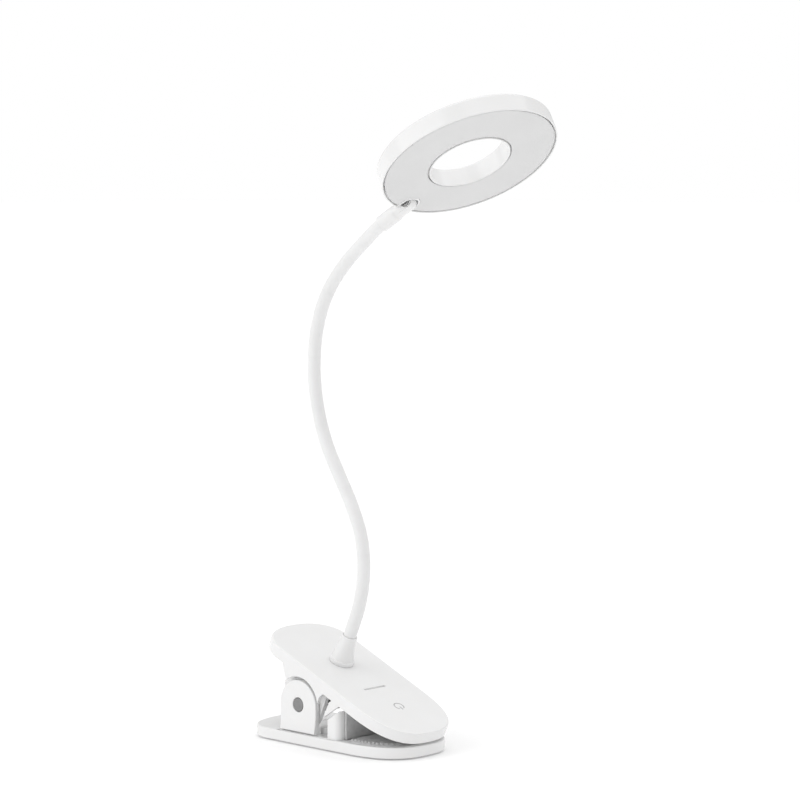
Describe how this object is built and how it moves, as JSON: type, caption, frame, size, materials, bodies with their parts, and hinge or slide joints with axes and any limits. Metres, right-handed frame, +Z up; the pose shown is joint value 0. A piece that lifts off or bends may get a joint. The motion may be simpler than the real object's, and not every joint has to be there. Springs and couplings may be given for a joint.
{
  "type": "clip-on reading lamp",
  "caption": "Rechargeable clip-on reading lamp: a spring clamp, a bendable neck and a tilting ring-shaped light head.",
  "frame": {"origin": "middle of the flat underside of the lower jaw", "axes": "+Z up, out of the surface it stands on; +X from the squeeze handle to the jaw tips; +Y completes a right-handed frame"},
  "size_m": [0.1768, 0.1003, 0.3618],
  "materials": {
    "shell": "smooth glossy white",
    "silicone": "soft satin white",
    "rubber": "matt grey",
    "steel": "satin",
    "brass": "turned",
    "diffuser": "satin milky white",
    "clear": "clear moulded acrylic",
    "board": "white solder mask",
    "greenBoard": "green solder mask",
    "foil": "laminate foil",
    "copper": "bare copper foil",
    "film": "white reflector film"
  },
  "bodies": {
    "lower_jaw": {"lower_shell": "shell", "lower_cover": "shell", "foot_pad": "rubber", "ballast_plate": "steel", "hinge_bracket": "shell", "lower_grip_pad": "rubber", "mouth_liner": "rubber", "pivot_pin": "steel", "pin_cap": "steel", "torsion_spring": "steel", "lower_screw_1": "steel", "lower_screw_2": "steel", "lower_screw_3": "steel", "lower_screw_4": "steel"},
    "upper_jaw": {"upper_cover": "shell", "upper_base": "shell", "pivot_bush_1": "brass", "pivot_bush_2": "brass", "upper_grip_pad": "rubber", "battery": "foil", "main_board": "greenBoard", "charge_socket": "steel", "touch_sensor": "copper", "status_light": "clear", "collar": "shell", "collar_nut": "brass", "upper_screw_1": "steel", "upper_screw_2": "steel", "upper_screw_3": "steel", "upper_screw_4": "steel", "neck_sleeve_1": "silicone", "neck_core_1": "steel"},
    "neck_2": {"neck_sleeve_2": "silicone", "neck_core_2": "steel"},
    "neck_3": {"neck_sleeve_3": "silicone", "neck_core_3": "steel"},
    "neck_4": {"neck_sleeve_4": "silicone", "neck_core_4": "steel"},
    "neck_5": {"neck_sleeve_5": "silicone", "neck_core_5": "steel"},
    "neck_6": {"neck_sleeve_6": "silicone", "neck_core_6": "steel"},
    "neck_7": {"neck_sleeve_7": "silicone", "neck_core_7": "steel", "neck_ferrule": "shell"},
    "head": {"head_housing": "shell", "diffuser": "diffuser", "light_guide": "clear", "reflector_sheet": "film", "led_board": "board", "tilt_pin": "steel", "tilt_washer_1": "steel", "tilt_washer_2": "steel"}
  },
  "joints": [
    {"name": "jaw_hinge", "type": "hinge", "parent": "lower_jaw", "child": "upper_jaw", "pos_m": [-0.013, 0, 0.023], "axis": [0, -1, 0], "range_deg": [0, 45], "stiffness_Nm_per_rad": 1, "springref_deg": -45.84, "deforming": ["torsion_spring"]},
    {"name": "neck_bend_1", "type": "hinge", "parent": "upper_jaw", "child": "neck_2", "pos_m": [0.01029, 0, 0.08742], "axis": [0, 1, 0], "range_deg": [-30, 30]},
    {"name": "neck_sway_2", "type": "hinge", "parent": "neck_2", "child": "neck_3", "pos_m": [0.00636, 0, 0.12587], "axis": [-0.9109, 0, -0.4127], "range_deg": [-30, 30]},
    {"name": "neck_bend_3", "type": "hinge", "parent": "neck_3", "child": "neck_4", "pos_m": [-0.01326, 0, 0.15989], "axis": [0, 1, 0], "range_deg": [-30, 30]},
    {"name": "neck_sway_4", "type": "hinge", "parent": "neck_4", "child": "neck_5", "pos_m": [-0.02626, 0, 0.19672], "axis": [-0.9887, 0, -0.1498], "range_deg": [-30, 30]},
    {"name": "neck_bend_5", "type": "hinge", "parent": "neck_5", "child": "neck_6", "pos_m": [-0.02432, 0.00016, 0.2357], "axis": [-0.006, 0.9997, -0.0223], "range_deg": [-30, 30]},
    {"name": "neck_sway_6", "type": "hinge", "parent": "neck_6", "child": "neck_7", "pos_m": [-0.00515, 0.0023, 0.26944], "axis": [-0.7374, 0, 0.6755], "range_deg": [-30, 30]},
    {"name": "head_tilt", "type": "hinge", "parent": "neck_7", "child": "head", "pos_m": [0.0387, 0.00801, 0.30378], "axis": [-0.0846, 0.9743, -0.2089], "range_deg": [-12, 75]}
  ]
}
